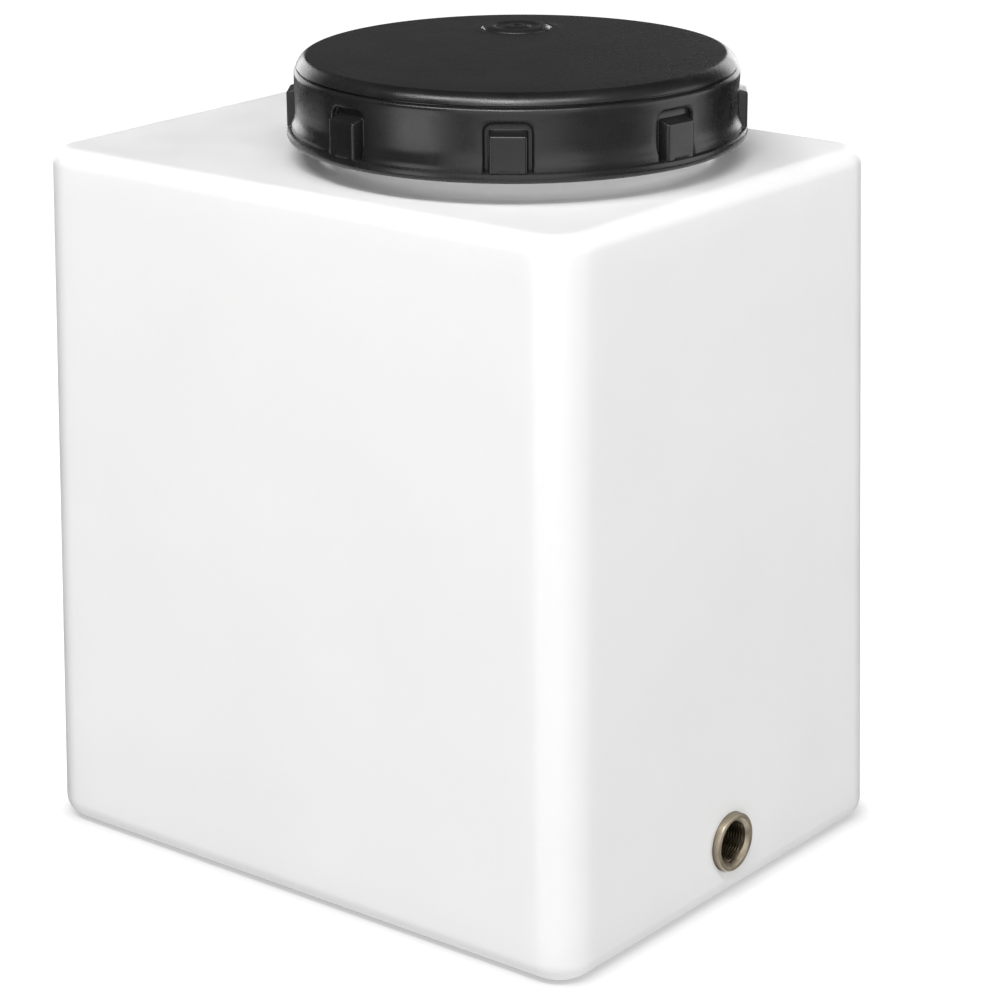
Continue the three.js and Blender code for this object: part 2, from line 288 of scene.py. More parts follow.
def cleaned(mesh):
    """Merges points that a cut left almost on top of each other, and drops what that flattens."""
    bm = bmesh.new()
    bm.from_mesh(mesh)
    bmesh.ops.remove_doubles(bm, verts=bm.verts, dist=CUT_MERGE)
    bmesh.ops.dissolve_degenerate(bm, dist=CUT_MERGE / 4, edges=bm.edges)
    bm.to_mesh(mesh)
    bm.free()
    return mesh


def moved(mesh, matrix):
    mesh.transform(matrix)
    return mesh


# ---- threads ----

def thread_ridge(radius, side, start):
    """A right-hand rounded thread; side is +1 outside a wall and -1 inside it.

    Its section is a run of (depth, half width) points.
    """
    steps_per_turn = 96
    section = [(-THREAD_SUNK, THREAD_HALF + 0.5), (0.4, THREAD_HALF - 0.1)]
    section += [(THREAD_DEPTH - 0.7, 1.35), (THREAD_DEPTH - 0.2, 1.0), (THREAD_DEPTH, 0.5)]
    section += [(depth, -dz) for depth, dz in reversed(section)]
    steps = round(THREAD_TURNS * steps_per_turn)
    run_out = steps_per_turn / 9    # the thread fades in and out over 40 degrees
    rings = []
    for i in range(steps + 1):
        angle = 2 * math.pi * i / steps_per_turn
        z = start + THREAD_PITCH * i / steps_per_turn
        grow = min(1, (min(i, steps - i) + 0.6) / run_out)
        grow = math.sin(grow * math.pi / 2)
        ring = []
        for depth, dz in section:
            r = radius + side * (depth * grow if depth > 0 else depth)
            ring.append((r * math.cos(angle), r * math.sin(angle), z + dz))
        rings.append(ring)
    return loft(rings)


# ---- tank ----

WALL_X = lerp(BASE[0], TOP[0], OUTLET_Z / HEIGHT) / 2    # outside of the end wall at the outlet's height


def rounded_rectangle(half_x, half_y, corner, z):
    corner_steps, x_steps, y_steps = 12, 44, 34
    points = []
    for part in range(4):
        sign_x = 1 if part in (0, 3) else -1
        sign_y = 1 if part < 2 else -1
        for i in range(corner_steps + 1):
            angle = (part + i / corner_steps) * math.pi / 2
            x = sign_x * (half_x - corner) + corner * math.cos(angle)
            y = sign_y * (half_y - corner) + corner * math.sin(angle)
            points.append((x, y, z))
        x, y, _ = points[-1]
        x_side = part in (0, 2)
        steps = x_steps if x_side else y_steps
        for i in range(1, steps):
            share = 1 - 2 * i / steps
            points.append((x * share, y, z) if x_side else (x, y * share, z))
    return points


def wall_ring(z, inset, draw):
    """The plan of the leaning walls at a height, drawn in by the inset and by an edge's rounding."""
    share = z / HEIGHT
    half_x = lerp(BASE[0], TOP[0], share) / 2 - inset - draw
    half_y = lerp(BASE[1], TOP[1], share) / 2 - inset - draw
    return rounded_rectangle(half_x, half_y, EDGE_UPRIGHT - inset - draw, z)


def block_rings(inset):
    """Rings of the tank's block from its base up to its flat top, drawn in by an inset."""
    low, high = EDGE_BASE - inset, EDGE_TOP - inset
    edge_steps, wall_steps = 10, 24
    edge = quarter(edge_steps)[1:]
    rings = [wall_ring(inset + low * rise, inset, low * draw) for rise, draw in reversed(edge)]
    for i in range(wall_steps + 1):
        rings.append(wall_ring(lerp(EDGE_BASE, HEIGHT - EDGE_TOP, i / wall_steps), inset, 0))
    rings += [wall_ring(HEIGHT - inset - high * rise, inset, high * draw) for rise, draw in edge]
    return rings


def neck_ring(guide, radius, z):
    """A circle about the mouth's axis whose points line up with those of a guide ring."""
    points = []
    for x, y, _ in guide:
        angle = math.atan2(y, x - MOUTH_X)
        points.append((MOUTH_X + radius * math.cos(angle), radius * math.sin(angle), z))
    return points


def between(first, second, shares):
    """Rings at the given shares of the way from one ring to another."""
    return [[tuple(lerp(Vector(a), Vector(b), t)) for a, b in zip(first, second)] for t in shares]


def neck_profile():
    """(radius, height) up the outside of the neck, over its rim and down its bore."""
    rim = HEIGHT + NECK_RISE
    waist = HEIGHT + WAIST_RISE
    foot = NECK_WAIST + NECK_FOOT
    outside = arc(foot, HEIGHT + NECK_FOOT, NECK_FOOT, 270, 180, 8)
    outside += [(NECK_WAIST, waist - 2.5), (NECK_WAIST + 0.5, waist - 1), (NECK_BODY - 0.7, waist + 2.5)]
    outside += [(NECK_BODY, waist + 4), (NECK_BODY, rim - 12)]
    outside += arc(NECK_BODY - 1.5, rim - 1.5, 1.5, 0, 90, 5)
    inside = arc(NECK_BODY - WALL + 1, rim - 1, 1, 90, 180, 4)
    inside += [(NECK_BODY - WALL, waist + 5.5), (NECK_BODY - WALL - 0.5, waist + 4.2)]
    inside += [(NECK_WAIST - WALL + 0.5, waist + 1.8), (NECK_WAIST - WALL, waist + 0.5)]
    low = arc(NECK_WAIST - WALL + 3, HEIGHT - WALL + 3, 3, 180, 270, 5)
    return outside + inside + low


def tank_mesh():
    outer = block_rings(0)
    inner = block_rings(WALL)
    profile = neck_profile()
    neck = [neck_ring(outer[-1], r, z) for r, z in profile]
    shares = [0.04, 0.2, 0.4, 0.6, 0.8, 0.96]
    deck = between(outer[-1], neck[0], shares)
    ceiling = between(neck[-1], inner[-1], shares)
    shell = loft(outer + deck + neck + ceiling + list(reversed(inner)))
    ridge = thread_ridge(NECK_BODY, 1, HEIGHT + NECK_THREAD_RISE)
    shell = boolean(shell, moved(ridge, Matrix.Translation((MOUTH_X, 0, 0))), "UNION")
    shell = boolean(shell, along_x(outlet_boss()), "UNION")
    return boolean(shell, along_x(outlet_seat()), "DIFFERENCE")


def outlet_boss():
    end = WALL_X - BOSS_SUNK
    corner = 2
    inner_edge = arc(BOSS_RADIUS - corner, INSERT_INSIDE + corner, corner, -90, 0)
    return turned([(0, INSERT_INSIDE), *inner_edge, (BOSS_RADIUS, end), (0, end)])


def outlet_seat():
    """What the insert, its collar and the rounded edge round its face take out of the tank."""
    radius, collar = INSERT_RADIUS + SEAT_FIT, INSERT_COLLAR + SEAT_FIT
    start, end = INSERT_INSIDE - OVERRUN, WALL_X + OVERRUN
    collar_start, collar_end = COLLAR_SPAN[0] - SEAT_FIT, COLLAR_SPAN[1] + SEAT_FIT
    profile = [(0, start), (radius, start), (radius, collar_start), (collar, collar_start)]
    profile += [(collar, collar_end), (radius, collar_end)]
    profile += arc(radius + SEAT_LEAD, WALL_X - SEAT_LEAD, SEAT_LEAD, 180, 90)
    profile += [(radius + SEAT_LEAD, end), (0, end)]
    return turned(profile)


def along_x(mesh):
    """Turns a shape drawn about +Z onto the outlet's axis."""
    turn = Matrix.Rotation(math.pi / 2, 4, "Y")
    return moved(mesh, Matrix.Translation((0, 0, OUTLET_Z)) @ turn)


# ---- outlet ----

def outlet_mesh():
    """The brass insert with its internal pipe thread, turned about +Z and then laid along +X."""
    radius, collar, bore = INSERT_RADIUS, INSERT_COLLAR, INSERT_BORE
    mouth = bore + INSERT_MOUTH
    outside = [(bore + 1, INSERT_INSIDE), (radius - 0.5, INSERT_INSIDE), (radius, INSERT_INSIDE + 0.5)]
    outside += [(radius, COLLAR_SPAN[0]), (collar, COLLAR_SPAN[0]), (collar, COLLAR_SPAN[1])]
    outside += [(radius, COLLAR_SPAN[1]), (radius, INSERT_FACE - 5)]
    outside += arc(radius - 0.7, INSERT_FACE - 0.7, 0.7, 0, 90, 5)
    outside += [(mouth + 0.15, INSERT_FACE), (mouth, INSERT_FACE - 0.1), (bore + 0.1, INSERT_FACE - 1.85)]
    angles = turn_angles(SMALL_ROUND)
    rings = [ring_at(r, z, angles) for r, z in outside]
    start, end = INSERT_FACE - 2, INSERT_INSIDE + 2.5
    rows_per_pitch = 10
    rows = round((start - end) / PIPE_PITCH * rows_per_pitch)
    for i in range(rows + 1):
        z = lerp(start, end, i / rows)
        fade = min(1, i / rows_per_pitch, (rows - i) / rows_per_pitch / 2)
        ring = []
        for angle in angles:
            phase = z / PIPE_PITCH * 2 * math.pi - angle
            # a wave whose crests and roots are flattened
            groove = 0.5 - 0.62 * math.cos(phase) + 0.12 * math.cos(3 * phase)
            r = bore + fade * PIPE_DEPTH * min(1, max(0, groove))
            ring.append((r * math.cos(angle), r * math.sin(angle), z))
        rings.append(ring)
    rings.append(ring_at(bore, INSERT_INSIDE + 1, angles))
    return along_x(loft(rings, joined=True))


# ---- lid ----

# (height, radius) up the flare above the lip
FLARE = [(5, 122.4), (6.5, 122.35), (8, 122.2), (9.5, 121.6), (10.7, 121.1), (12, 120.8), (13.5, 120.6)]
LOW_SIDE = [z for z, _ in FLARE] + [FLARE_Z]
SECTOR_HALF = LID_WALL * math.pi / LUG_COUNT    # half the run of skirt that belongs to one lug
RIM_ROUND = 1.3             # rounding where a pocket breaks the skirt
FLOOR_ROUND = 0.6
LUG_ROUND = 1.2
ARC_STEPS = 8
TOP_STEPS = 4
SKIRT_SHARES = (0.25, 0.5, 0.75, 0.9)
RIM_STEPS = 4
FLOOR_STEPS = 3
FACE_STEPS = 4
SKIRT_LOOPS = 1 + len(SKIRT_SHARES) + RIM_STEPS + 1    # loops on the skirt and its rounded rim
FACE_LOOPS = FACE_STEPS + 1                            # loops round the lug's face

# (radius, height) down over the lip and in under it
LIP_PROFILE = [(LID_LIP - 0.75, 4.5), (LID_LIP - 0.25, 4.2)]
LIP_PROFILE += arc(LID_LIP - LIP_ROUND, LIP_LOW + LIP_ROUND, LIP_ROUND, 0, -84, 7)
LIP_PROFILE += [(LID_LIP - LIP_ROUND - 0.6, LIP_LOW)]


def skirt_radius(z):
    """Radius of the skirt, which flares out towards the lip."""
    if z >= FLARE_Z:
        return LID_WALL
    points = FLARE + [(FLARE_Z, LID_WALL)]
    above = next(i for i in range(1, len(points)) if z <= points[i][0])
    (z0, r0), (z1, r1) = points[above - 1], points[above]
    return lerp(r0, r1, (z - z0) / (z1 - z0))


def side_heights(top):
    """Heights of the points up one side of an arch."""
    return LOW_SIDE + [lerp(FLARE_Z, top, i / 3) for i in (1, 2, 3)]


def mirrored(left):
    """An outline from its left half, which ends in the middle."""
    return left + [(-u, z) for u, z in reversed(left[:-1])]


def arch(half, top, corner):
    """An arched outline from its bottom left, over the top, to its bottom right, as (along, height)."""
    left = [(-half, z) for z in side_heights(top - corner)]
    left += arc(corner - half, top - corner, corner, 180, 90, ARC_STEPS)[1:]
    left += [((corner - half) * (1 - i / TOP_STEPS), top) for i in range(1, TOP_STEPS + 1)]
    return mirrored(left)


def sector_edge():
    """The sector's own outline, with as many points as an arch."""
    corner_z = POCKET_TOP - POCKET_CORNER
    left = [(-SECTOR_HALF, z) for z in side_heights(corner_z)]
    rise = ARC_STEPS // 2
    left += [(-SECTOR_HALF, lerp(corner_z, SHOULDER_Z, i / rise)) for i in range(1, rise + 1)]
    across = rise + TOP_STEPS
    left += [(-SECTOR_HALF * (1 - i / across), SHOULDER_Z) for i in range(1, across + 1)]
    return mirrored(left)


def on_skirt(outline, depth=0.0):
    """An outline wrapped round the skirt, or sunk below it."""
    points = []
    for u, z in outline:
        angle, r = u / LID_WALL, skirt_radius(z) - depth
        points.append((r * math.cos(angle), r * math.sin(angle), z))
    return points


def at_radius(outline, radius):
    return [(math.sqrt(radius ** 2 - u * u), u, z) for u, z in outline]


def at_plane(outline, x):
    return [(x, u, z) for u, z in outline]


def sector_loops():
    """Loops over one lug's share of the skirt, from its edge in over the pocket to the lug's face."""
    edge = sector_edge()
    rim = arch(POCKET_HALF + RIM_ROUND, POCKET_TOP + RIM_ROUND, POCKET_CORNER + RIM_ROUND)
    loops = [on_skirt(edge)]
    for t in SKIRT_SHARES:
        loops.append(on_skirt([(lerp(a[0], b[0], t), lerp(a[1], b[1], t)) for a, b in zip(edge, rim)]))
    for rise, draw in quarter(RIM_STEPS):
        out = RIM_ROUND * rise
        outline = arch(POCKET_HALF + out, POCKET_TOP + out, POCKET_CORNER + out)
        loops.append(on_skirt(outline, RIM_ROUND * draw))
    for rise, draw in quarter(FLOOR_STEPS):
        inward = FLOOR_ROUND * draw
        outline = arch(POCKET_HALF - inward, POCKET_TOP - inward, POCKET_CORNER - inward)
        loops.append(at_radius(outline, POCKET_FLOOR + FLOOR_ROUND * rise))
    for rise, draw in quarter(FLOOR_STEPS):
        out = FLOOR_ROUND * rise
        outline = arch(LUG_HALF + out, LUG_TOP[0] + out, LUG_ROUND + out)
        loops.append(at_radius(outline, POCKET_FLOOR + FLOOR_ROUND * draw))
    for rise, draw in quarter(FACE_STEPS):
        inward = LUG_ROUND * draw
        outline = arch(LUG_HALF - inward, LUG_TOP[1] - inward, LUG_ROUND + 0.2 - inward)
        loops.append(at_plane(outline, LUG_FACE - LUG_ROUND * rise))
    return loops


def lip_places(loops):
    """Where each loop's left end meets the lip, as a distance along the skirt."""
    places = []
    for i, loop in enumerate(loops):
        x, y, _ = loop[0]
        on_face = i >= len(loops) - FACE_LOOPS
        if i < SKIRT_LOOPS or on_face:
            places.append(math.atan2(y, x) * LID_WALL)
        else:
            places.append(None)
    gap = [i for i, place in enumerate(places) if place is None]
    first, last = places[gap[0] - 1], places[gap[-1] + 1]
    for step, i in enumerate(gap, 1):
        places[i] = lerp(first, last, step / (len(gap) + 1))
    return places


def add_strip(points, faces, first, second):
    """Quads between two open rows of equal count."""
    start = len(points)
    points.extend(first)
    points.extend(second)
    n = len(first)
    for i in range(n - 1):
        faces.append((start + i, start + i + 1, start + n + i + 1, start + n + i))


def sector_mesh_data():
    """Points and faces of one sector of the skirt, and the angles of the points where it meets the lip."""
    points, faces = [], []
    loops = sector_loops()
    for outer, inner in zip(loops, loops[1:]):
        add_strip(points, faces, outer, inner)
    face = loops[-1]
    side = len(face) // 2 - TOP_STEPS
    tops = face[side:len(face) - side]
    left, right = face[:side + 1], list(reversed(face[len(face) - side - 1:]))
    shares = [(p[1] - tops[0][1]) / (tops[-1][1] - tops[0][1]) for p in tops]
    rows = []
    for a, b in zip(left, right):
        rows.append([(lerp(a[0], b[0], s), lerp(a[1], b[1], s), lerp(a[2], b[2], s)) for s in shares])
    rows[-1] = tops
    for low, high in zip(rows, rows[1:]):
        add_strip(points, faces, low, high)
    ends = [loop[0] for loop in loops[:-1]] + rows[0] + [loop[-1] for loop in reversed(loops[:-1])]
    places = lip_places(loops)[:-1]
    middle = [math.atan2(p[1], p[0]) * LID_WALL for p in rows[0]]
    along = places + middle + [-p for p in reversed(places)]
    lip_angles = [u / LID_WALL for u in along]
    lip_radius, lip_z = LIP_PROFILE[0]
    add_strip(points, faces, ends, ring_at(lip_radius, lip_z, lip_angles))
    return points, faces, lip_angles


def crown_profile():
    """(radius, height) from the top of the skirt, over the shoulder and the groove, to the crown's edge."""
    points = arc(LID_WALL - SHOULDER_RADIUS, SHOULDER_Z, SHOULDER_RADIUS, 0, 78, 7)
    points += [(GROOVE_RADIUS + 0.2, GROOVE_LOW + 0.1), (GROOVE_RADIUS, GROOVE_LOW + 0.3)]
    points += [(GROOVE_RADIUS, GROOVE_HIGH - 0.3), (GROOVE_RADIUS + 0.3, GROOVE_HIGH)]
    middle = CROWN_EDGE - CROWN_RISE
    start = math.asin((GROOVE_HIGH + 0.35 - middle) / CROWN_RISE)
    end = math.radians(86)
    steps = 14
    for i in range(steps + 1):
        angle = lerp(start, end, i / steps)
        r = CROWN_RADIUS - CROWN_ACROSS * (1 - math.cos(angle))
        points.append((r, middle + CROWN_RISE * math.sin(angle)))
    return points


def dome(r):
    """Height of the crown's slightly domed top at a radius; it ends 0.05 above its rounded edge."""
    inner = CROWN_RADIUS - CROWN_ACROSS
    return LID_TOP - (LID_TOP - CROWN_EDGE - 0.05) * (r / inner) ** 2


def breather_place():
    angle = math.radians(BREATHER_ANGLE)
    return BREATHER_OFFSET * math.cos(angle), BREATHER_OFFSET * math.sin(angle)


def add_sectors(points, faces):
    """Adds the skirt's sectors, and returns the angles of its columns at the shoulder and at the lip."""
    data, quads, lip_angles = sector_mesh_data()
    top_angles = [u / LID_WALL for u, z in sector_edge() if z == SHOULDER_Z]
    columns, lip_columns = [], []
    for k in range(LUG_COUNT):
        turn = math.radians(LUG_FIRST + k * 360 / LUG_COUNT)
        spin = Matrix.Rotation(turn, 4, "Z")
        start = len(points)
        points.extend(tuple(spin @ Vector(p)) for p in data)
        faces.extend(tuple(i + start for i in quad) for quad in quads)
        columns.extend(turn + a for a in top_angles[:-1])
        lip_columns.extend(turn + a for a in lip_angles[:-1])
    return columns, lip_columns


def cup_rings(columns):
    """Rings of the flat pad on the dome, and of the recess in it for the breather's cap."""
    bx, by = breather_place()
    rings = []
    for r, lift in ((CUP_PAD + 5, None), (CUP_PAD + 3, 0.25), (CUP_PAD + 1, 0.8), (CUP_PAD, 1)):
        ring = []
        for x, y, _ in ring_at(r, 0, columns, bx, by):
            ground = dome(math.hypot(x, y))
            ring.append((x, y, ground if lift is None else lerp(ground, LID_TOP, lift)))
        rings.append(ring)
    edge = 0.7
    wall = arc(CUP_RADIUS + edge, LID_TOP - edge, edge, 90, 180, 4)
    wall += [(CUP_RADIUS, CUP_FLOOR), (0, CUP_FLOOR)]
    return rings + [ring_at(r, z, columns, bx, by) for r, z in wall]


def plate_rings(outer, inner):
    """Rings over the dome, from the edge of the crown to the pad."""
    shares = [0.015, 0.04, 0.1, 0.2, 0.3, 0.4, 0.5, 0.6, 0.7, 0.8, 0.9]
    first, *others = between(outer, inner, shares)
    rings = [[(x, y, min(z, dome(math.hypot(x, y)))) for x, y, z in first]]
    return rings + [[(x, y, dome(math.hypot(x, y))) for x, y, _ in ring] for ring in others]


def lid_outside():
    """The lid as a solid plug: skirt, lugs, lip and crown, with the recess for the breather."""
    points, faces = [], []
    columns, lip_columns = add_sectors(points, faces)
    crown = [ring_at(r, z, columns) for r, z in crown_profile()]
    cup = cup_rings(columns)
    underside = LIP_PROFILE + [(LID_BORE - 3, LIP_LOW), (0, LIP_LOW)]
    add_rings(points, faces, crown + plate_rings(crown[-1], cup[0]) + cup)
    add_rings(points, faces, [ring_at(r, z, lip_columns) for r, z in underside])
    return mesh_of(points, faces)


def lid_hollow():
    """The space inside the lid, with its thread and gasket seat, less the boss under the breather."""
    below = 5
    profile = [(0, LIP_LOW - below), (LID_BORE + BORE_CHAMFER + below, LIP_LOW - below)]
    profile += [(LID_BORE, LIP_LOW + BORE_CHAMFER), (LID_BORE, SEAT_Z)]
    profile += [(SEAT_INNER + 0.5, SEAT_Z), (SEAT_INNER, SEAT_Z + 0.5), (SEAT_INNER, LID_UNDER - 1)]
    profile += [(SEAT_INNER - 1, LID_UNDER), (0, LID_UNDER)]
    start = NECK_THREAD_RISE - LID_RISE - THREAD_PITCH / 2 + THREAD_SHIFT
    return boolean(turned(profile, ROUND), thread_ridge(LID_BORE, -1, start), "DIFFERENCE")


def lid_mesh():
    at_breather = Matrix.Translation((*breather_place(), 0))
    top = LID_UNDER + OVERRUN
    edge = arc(CUP_BOSS - 1, CUP_UNDER + 1, 1, -90, 0)
    boss = turned([(0, CUP_UNDER), *edge, (CUP_BOSS, top), (0, top)])
    hollow = boolean(lid_hollow(), moved(boss, at_breather), "DIFFERENCE")
    shell = boolean(lid_outside(), hollow, "DIFFERENCE")
    stem_hole = cylinder(STEM_RADIUS + STEM_PLAY, CUP_UNDER - 5, LID_TOP)
    return boolean(shell, moved(stem_hole, at_breather), "DIFFERENCE")


def gasket_mesh():
    edge = 0.8
    inner, outer = GASKET_RADII[0] + edge, GASKET_RADII[1] - edge
    low, high = GASKET_SPAN[0] + edge, GASKET_SPAN[1] - edge
    profile = arc(inner, low, edge, 180, 270) + arc(outer, low, edge, 270, 360)
    profile += arc(outer, high, edge, 0, 90) + arc(inner, high, edge, 90, 180)
    return turned(profile, ROUND)


# ---- breather, about its own axis ----

def breather_body_mesh():
    """The hollow stem and its flange."""
    edge = 0.4
    low, high = FLANGE_SPAN
    profile = [(STEM_BORE + edge, STEM_END), (STEM_RADIUS - edge, STEM_END), (STEM_RADIUS, STEM_END + edge)]
    profile += [(STEM_RADIUS, low), *arc(FLANGE_RADIUS - edge, low + edge, edge, -90, 0, 3)]
    profile += [*arc(FLANGE_RADIUS - edge, high - edge, edge, 0, 90, 3), (STEM_BORE + edge, high)]
    profile += [(STEM_BORE, high - edge), (STEM_BORE, STEM_END + edge)]
    return turned(profile)


def breather_gasket_mesh():
    inner, outer = SEAL_RADII
    return turned(arc(inner, SEAL_MIDDLE, SEAL_HALF, 90, 270) + arc(outer, SEAL_MIDDLE, SEAL_HALF, -90, 90))


def breather_valve_mesh():
    """The loose flap: a disc with a rounded edge."""
    low, high = FLAP_SPAN
    middle = FLAP_RADIUS - FLAP_EDGE
    profile = [(0, low), *arc(middle, low + FLAP_EDGE, FLAP_EDGE, -90, 0, 3)]
    profile += [*arc(middle, high - FLAP_EDGE, FLAP_EDGE, 0, 90, 3)[1:], (0, high)]
    return turned(profile)


def cap_dip(r):
    """How far the cap's top lies below its rings, from 0 on a ring to 1 in a valley."""
    outer, inner = CAP_CREST
    if r > outer:
        share = (r - outer) / CAP_SLOPE
    elif r > inner:
        share = 1 - min(1, abs(r - CAP_VALLEY) / (outer - CAP_VALLEY))
    else:
        share = (inner - r) / inner * 0.8
    return 0.5 - 0.5 * math.cos(math.pi * min(1, share))


def breather_cap_mesh():
    """The cap: a rounded rim, an outer ring, a valley and an inner ring, with vents under its edge."""
    rim = CAP_UNDER - 0.4
    profile = [(0, CAP_UNDER), (CAP_INNER, CAP_UNDER), (CAP_INNER, 42.6)]
    profile += [(CAP_INNER - 0.8, 42.1), (CAP_INNER - 0.4, CAP_SKIRT)]
    profile += [(CAP_RADIUS - 0.3, CAP_SKIRT), (CAP_RADIUS, CAP_SKIRT + 0.3), (CAP_RADIUS, rim)]
    profile += arc(CAP_RADIUS - 0.9, rim, 0.9, 0, 62, 5)
    waves = 40
    for i in range(waves + 1):
        r = lerp(CAP_CREST[0] + 2.2, 0, i / waves)
        profile.append((r, CAP_TOP - CAP_DEPTH * cap_dip(r)))
    cap = turned(profile)
    inner, outer = VENT_REACH
    low, high = CAP_SKIRT - 1, CAP_SKIRT + 2
    section = [(inner, low), (outer, low), (outer, high), (inner, high)]
    for i in range(VENT_COUNT):
        spin = Matrix.Rotation(2 * math.pi * i / VENT_COUNT, 4, "Z")
        slot = loft([[(x, y, z) for x, z in section] for y in (-VENT_HALF, VENT_HALF)])
        cap = boolean(cap, moved(slot, spin), "DIFFERENCE")
    return cap


def breather_nut_mesh():
    """A hexagonal nut with chamfered corners and a round flange on top."""
    high = CUP_UNDER - NUT_GAP
    low = high - NUT_HEIGHT
    flat = NUT_CORNER * math.cos(math.pi / 6)
    hexagon = loft([ring_at(NUT_CORNER, z, turn_angles(6)) for z in (low, high - 1)])
    corner = NUT_CORNER + 0.2
    chamfer = turned([(0, low), (flat - 0.3, low), (corner, low + 1.6), (corner, high), (0, high)])
    hexagon = boolean(hexagon, chamfer, "INTERSECT")
    edge = 0.3
    flange_low = high - 1.6
    flange = turned([(0, flange_low), (NUT_FLANGE - edge, flange_low), (NUT_FLANGE, flange_low + edge),
                     (NUT_FLANGE, high), (0, high)])
    nut = boolean(hexagon, flange, "UNION")
    return boolean(nut, cylinder(STEM_RADIUS + STEM_PLAY, low - OVERRUN, high + OVERRUN), "DIFFERENCE")


# ---- materials ----

MIX_FIRST, MIX_SECOND, MIX_RESULT = 6, 7, 2    # the colour sockets of a mix node


def new_material(name, color, roughness, metallic=0.0):
    material = bpy.data.materials.new(name)
    material.use_nodes = True
    shader = material.node_tree.nodes["Principled BSDF"]
    shader.inputs["Base Color"].default_value = (*color, 1)
    shader.inputs["Roughness"].default_value = roughness
    shader.inputs["Metallic"].default_value = metallic
    return material, shader


def noise(material, scale, detail, roughness=0.5):
    """A noise texture's value, in the object's own space."""
    nodes, links = material.node_tree.nodes, material.node_tree.links
    place = nodes.get("place") or nodes.new("ShaderNodeTexCoord")
    place.name = "place"
    texture = nodes.new("ShaderNodeTexNoise")
    texture.inputs["Scale"].default_value = scale
    texture.inputs["Detail"].default_value = detail
    texture.inputs["Roughness"].default_value = roughness
    links.new(place.outputs["Object"], texture.inputs["Vector"])
    return texture.outputs["Fac"]


def spread(material, value, low, high, start=0.3, end=0.7):
    """Turns a value's range, from start to end, into a range from low to high."""
    nodes, links = material.node_tree.nodes, material.node_tree.links
    node = nodes.new("ShaderNodeMapRange")
    for name, number in (("From Min", start), ("From Max", end), ("To Min", low), ("To Max", high)):
        node.inputs[name].default_value = number
    links.new(value, node.inputs["Value"])
    return node.outputs["Result"]


def tint(material, value, first, second):
    """Mixes a colour with another, or with a socket's colour, by a value from 0 to 1."""
    nodes, links = material.node_tree.nodes, material.node_tree.links
    node = nodes.new("ShaderNodeMix")
    node.data_type = "RGBA"
    node.inputs[MIX_FIRST].default_value = (*first, 1)
    if isinstance(second, bpy.types.NodeSocket):
        links.new(second, node.inputs[MIX_SECOND])
    else:
        node.inputs[MIX_SECOND].default_value = (*second, 1)
    links.new(value, node.inputs["Factor"])
    return node.outputs[MIX_RESULT]


def bumps(material, shader, layers):
    """Chains bump nodes; each layer is (height, strength, distance in metres)."""
    nodes, links = material.node_tree.nodes, material.node_tree.links
    last = None
    for height, strength, distance in layers:
        bump = nodes.new("ShaderNodeBump")
        bump.inputs["Strength"].default_value = strength
        bump.inputs["Distance"].default_value = distance
        links.new(height, bump.inputs["Height"])
        if last:
            links.new(last, bump.inputs["Normal"])
        last = bump.outputs["Normal"]
    links.new(last, shader.inputs["Normal"])


def natural_polyethylene():
    """Rotomoulded skin: satin, slightly uneven, with a fine orange peel and a faint cloudiness."""
    material, shader = new_material("natural_polyethylene", (0.8, 0.8, 0.8), 0.42)
    links = material.node_tree.links
    cloud = spread(material, noise(material, 9, 3), 0, 1)
    white = tint(material, cloud, (0.785, 0.785, 0.783), (0.805, 0.805, 0.803))
    links.new(white, shader.inputs["Base Color"])
    links.new(spread(material, noise(material, 22, 3), 0.36, 0.5), shader.inputs["Roughness"])
    shader.inputs["Subsurface Weight"].default_value = 0.12
    shader.inputs["Subsurface Radius"].default_value = (0.012, 0.012, 0.011)
    shader.inputs["Subsurface Scale"].default_value = 1.0
    bumps(material, shader, [
        (noise(material, 16, 1), 0.25, 0.002),
        (noise(material, 260, 2), 0.12, 0.0005),
        (noise(material, 900, 1), 0.08, 0.0002),
    ])
    return material


def black_plastic(name, shade):
    """Injection-moulded black skin: satin with a very fine grain and slightly uneven gloss."""
    material, shader = new_material(name, (shade, shade, shade * 1.06), 0.27)
    shader.inputs["Specular IOR Level"].default_value = 0.38
    links = material.node_tree.links
    cloud = spread(material, noise(material, 30, 4), 0, 1)
    links.new(tint(material, cloud, (shade * 0.9,) * 3, (shade * 1.2,) * 3), shader.inputs["Base Color"])
    links.new(spread(material, noise(material, 60, 4, 0.6), 0.23, 0.32), shader.inputs["Roughness"])
    bumps(material, shader, [
        (noise(material, 45, 2), 0.12, 0.0006),
        (noise(material, 1400, 2), 0.3, 0.00008),
    ])
    return material


def seal_rubber():
    material, shader = new_material("seal_rubber", (0.03, 0.03, 0.031), 0.75)
    links = material.node_tree.links
    links.new(spread(material, noise(material, 200, 3), 0.66, 0.85), shader.inputs["Roughness"])
    bumps(material, shader, [(noise(material, 1800, 2), 0.4, 0.0001)])
    return material


